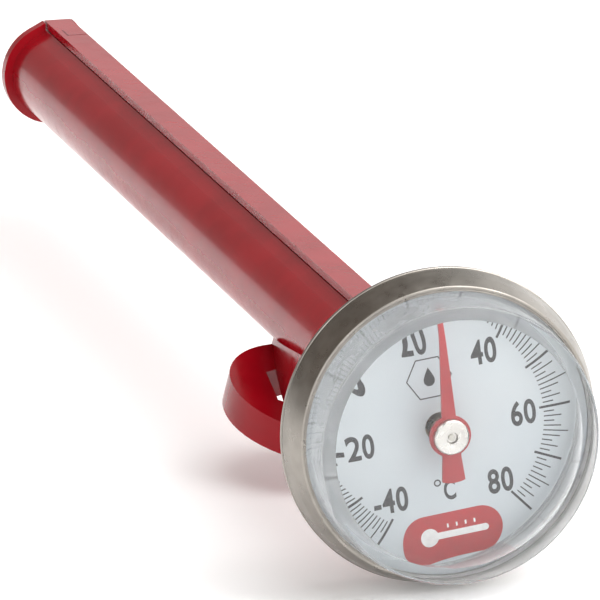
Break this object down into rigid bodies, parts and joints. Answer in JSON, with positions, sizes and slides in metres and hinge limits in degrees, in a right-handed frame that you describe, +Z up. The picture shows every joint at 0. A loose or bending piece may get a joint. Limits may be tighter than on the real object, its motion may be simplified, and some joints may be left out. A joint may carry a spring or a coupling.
{
  "type": "pocket dial thermometer",
  "caption": "Pocket bimetal thermometer with a round Celsius dial, a thin probe stem, and a moulded sheath with clip and hex wrench ear.",
  "frame": {"origin": "on the stem's axis, at the back face of the hexagon nut, where the free stem begins", "axes": "+Y along the stem towards its tip, so the dial faces -Y; +Z up as the thermometer lies on its side with the clip on top; +X to the right of the dial as read"},
  "size_m": [0.0286, 0.1409, 0.0286],
  "materials": {
    "stainless": "spun and brushed stainless steel",
    "brass": "turned brass",
    "bimetal": "plain rolled strip and wire",
    "seal_rubber": "matt",
    "clear_lens": "clear polished moulding",
    "dial_metal": "satin silver with printed scale",
    "spacer_plastic": "natural",
    "pointer_red": "red enamel",
    "nickel": "satin nickel plate",
    "sheath_red": "glossy moulded"
  },
  "bodies": {
    "stem": {"stem_tube": "stainless", "stem_tip": "stainless", "calibration_nut": "stainless", "hub_seal": "seal_rubber", "friction_washer": "stainless", "retaining_collar": "brass", "top_bushing": "brass", "guide_bushing": "brass", "bimetal_coil": "bimetal", "coil_anchor": "bimetal"},
    "head": {"case_back": "stainless", "bezel_ring": "stainless", "lens": "clear_lens", "lens_gasket": "seal_rubber", "dial_spacer": "spacer_plastic", "dial_plate": "dial_metal"},
    "pointer": {"pointer": "pointer_red", "hub_cap": "nickel", "pointer_shaft": "bimetal", "coil_collar": "brass"},
    "sheath": {"sheath": "sheath_red"},
    "clip": {"pocket_clip": "sheath_red"}
  },
  "joints": [
    {"name": "pointer_turn", "type": "hinge", "parent": "stem", "child": "pointer", "pos_m": [0, 0, 0], "axis": [0, 1, 0], "range_deg": [-146.8, 139.4], "stiffness_Nm_per_rad": 0.000002},
    {"name": "head_turn", "type": "hinge", "parent": "stem", "child": "head", "pos_m": [0, 0, 0], "axis": [0, 1, 0], "continuous": true},
    {"name": "sheath_pull", "type": "slide", "parent": "stem", "child": "sheath", "axis": [0, 1, 0], "range_m": [0, 0.14]},
    {"name": "clip_flex", "type": "hinge", "parent": "sheath", "child": "clip", "pos_m": [0.00067, 0.01595, 0.00495], "axis": [1, 0, 0], "range_deg": [0, 2], "stiffness_Nm_per_rad": 0.02}
  ]
}
